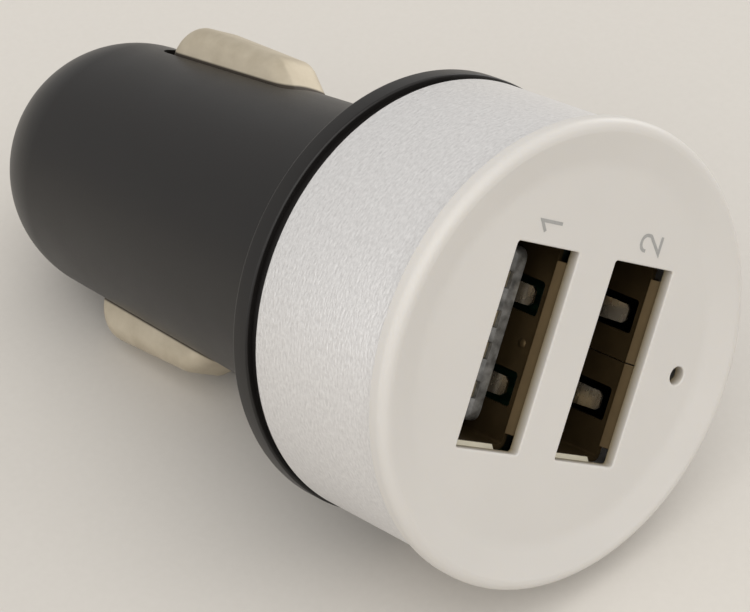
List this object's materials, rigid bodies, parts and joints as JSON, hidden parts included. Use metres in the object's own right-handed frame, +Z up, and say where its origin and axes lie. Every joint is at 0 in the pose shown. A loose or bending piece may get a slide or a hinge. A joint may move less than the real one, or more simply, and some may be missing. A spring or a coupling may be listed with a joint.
{
  "type": "car usb charger plug",
  "caption": "Car socket charger plug: a black domed barrel with sprung side contacts and a sprung nose pin, a silver sleeve and a white dished face with USB sockets.",
  "frame": {"origin": "under the middle of the plug's box, on the table it lies on", "axes": "+Z up from the table; the plug's axis lies along Y, with the face towards -Y and tilted up, as it comes to rest"},
  "size_m": [0.0298, 0.0586, 0.0314],
  "materials": {
    "housing_black": "fine matte black moulding",
    "sleeve_silver": "satin silver with a fine sparkle",
    "cap_white": "milky white, soft gloss",
    "contact_nickel": "nickel plate, warm satin",
    "spring_steel": "drawn wire",
    "board_green": "solder mask",
    "led_clear": "clear resin",
    "lead_tinned": "tinned wire",
    "chip_black": "moulded resin",
    "ferrite_grey": "ferrite",
    "fuse_cream": "fired ceramic",
    "can_aluminium": "drawn can",
    "shell_tinned": "tinned folded sheet",
    "insulator_grey": "pale grey moulding",
    "terminal_gold": "flash gold plate"
  },
  "bodies": {
    "plug": {"barrel_housing": "housing_black", "trim_sleeve": "sleeve_silver", "front_cap": "cap_white", "pin_spring": "spring_steel", "circuit_board": "board_green", "indicator_led": "led_clear", "led_lead_1": "lead_tinned", "led_lead_2": "lead_tinned", "converter_chip": "chip_black", "rectifier_diode": "chip_black", "input_fuse": "fuse_cream", "power_inductor": "ferrite_grey", "chip_resistor_1": "chip_black", "chip_resistor_2": "chip_black", "chip_resistor_3": "chip_black", "chip_capacitor_1": "fuse_cream", "chip_capacitor_2": "fuse_cream", "output_capacitor": "can_aluminium", "input_capacitor": "can_aluminium", "usb_shell_1": "shell_tinned", "usb_insulator_1": "insulator_grey", "usb_contact_1_1": "terminal_gold", "usb_contact_1_2": "terminal_gold", "usb_contact_1_3": "terminal_gold", "usb_contact_1_4": "terminal_gold", "usb_shell_2": "shell_tinned", "usb_insulator_2": "insulator_grey", "usb_contact_2_1": "terminal_gold", "usb_contact_2_2": "terminal_gold", "usb_contact_2_3": "terminal_gold", "usb_contact_2_4": "terminal_gold"},
    "pin": {"centre_pin": "contact_nickel"},
    "upper_contact": {"ground_contact_upper": "contact_nickel"},
    "lower_contact": {"ground_contact_lower": "contact_nickel"}
  },
  "joints": [
    {"name": "pin_slide", "type": "slide", "parent": "plug", "child": "pin", "axis": [0, -0.9856, 0.1691], "range_m": [0, 0.002], "stiffness_N_per_m": 900, "deforming": ["pin_spring"]},
    {"name": "upper_contact_flex", "type": "hinge", "parent": "plug", "child": "upper_contact", "pos_m": [0.00464, 0.00159, 0.01831], "axis": [-0.8038, 0.1006, 0.5863], "range_deg": [0, 6], "stiffness_Nm_per_rad": 0.05},
    {"name": "lower_contact_flex", "type": "hinge", "parent": "plug", "child": "lower_contact", "pos_m": [-0.00464, -0.00053, 0.00595], "axis": [0.8038, -0.1006, -0.5863], "range_deg": [0, 6], "stiffness_Nm_per_rad": 0.05}
  ]
}
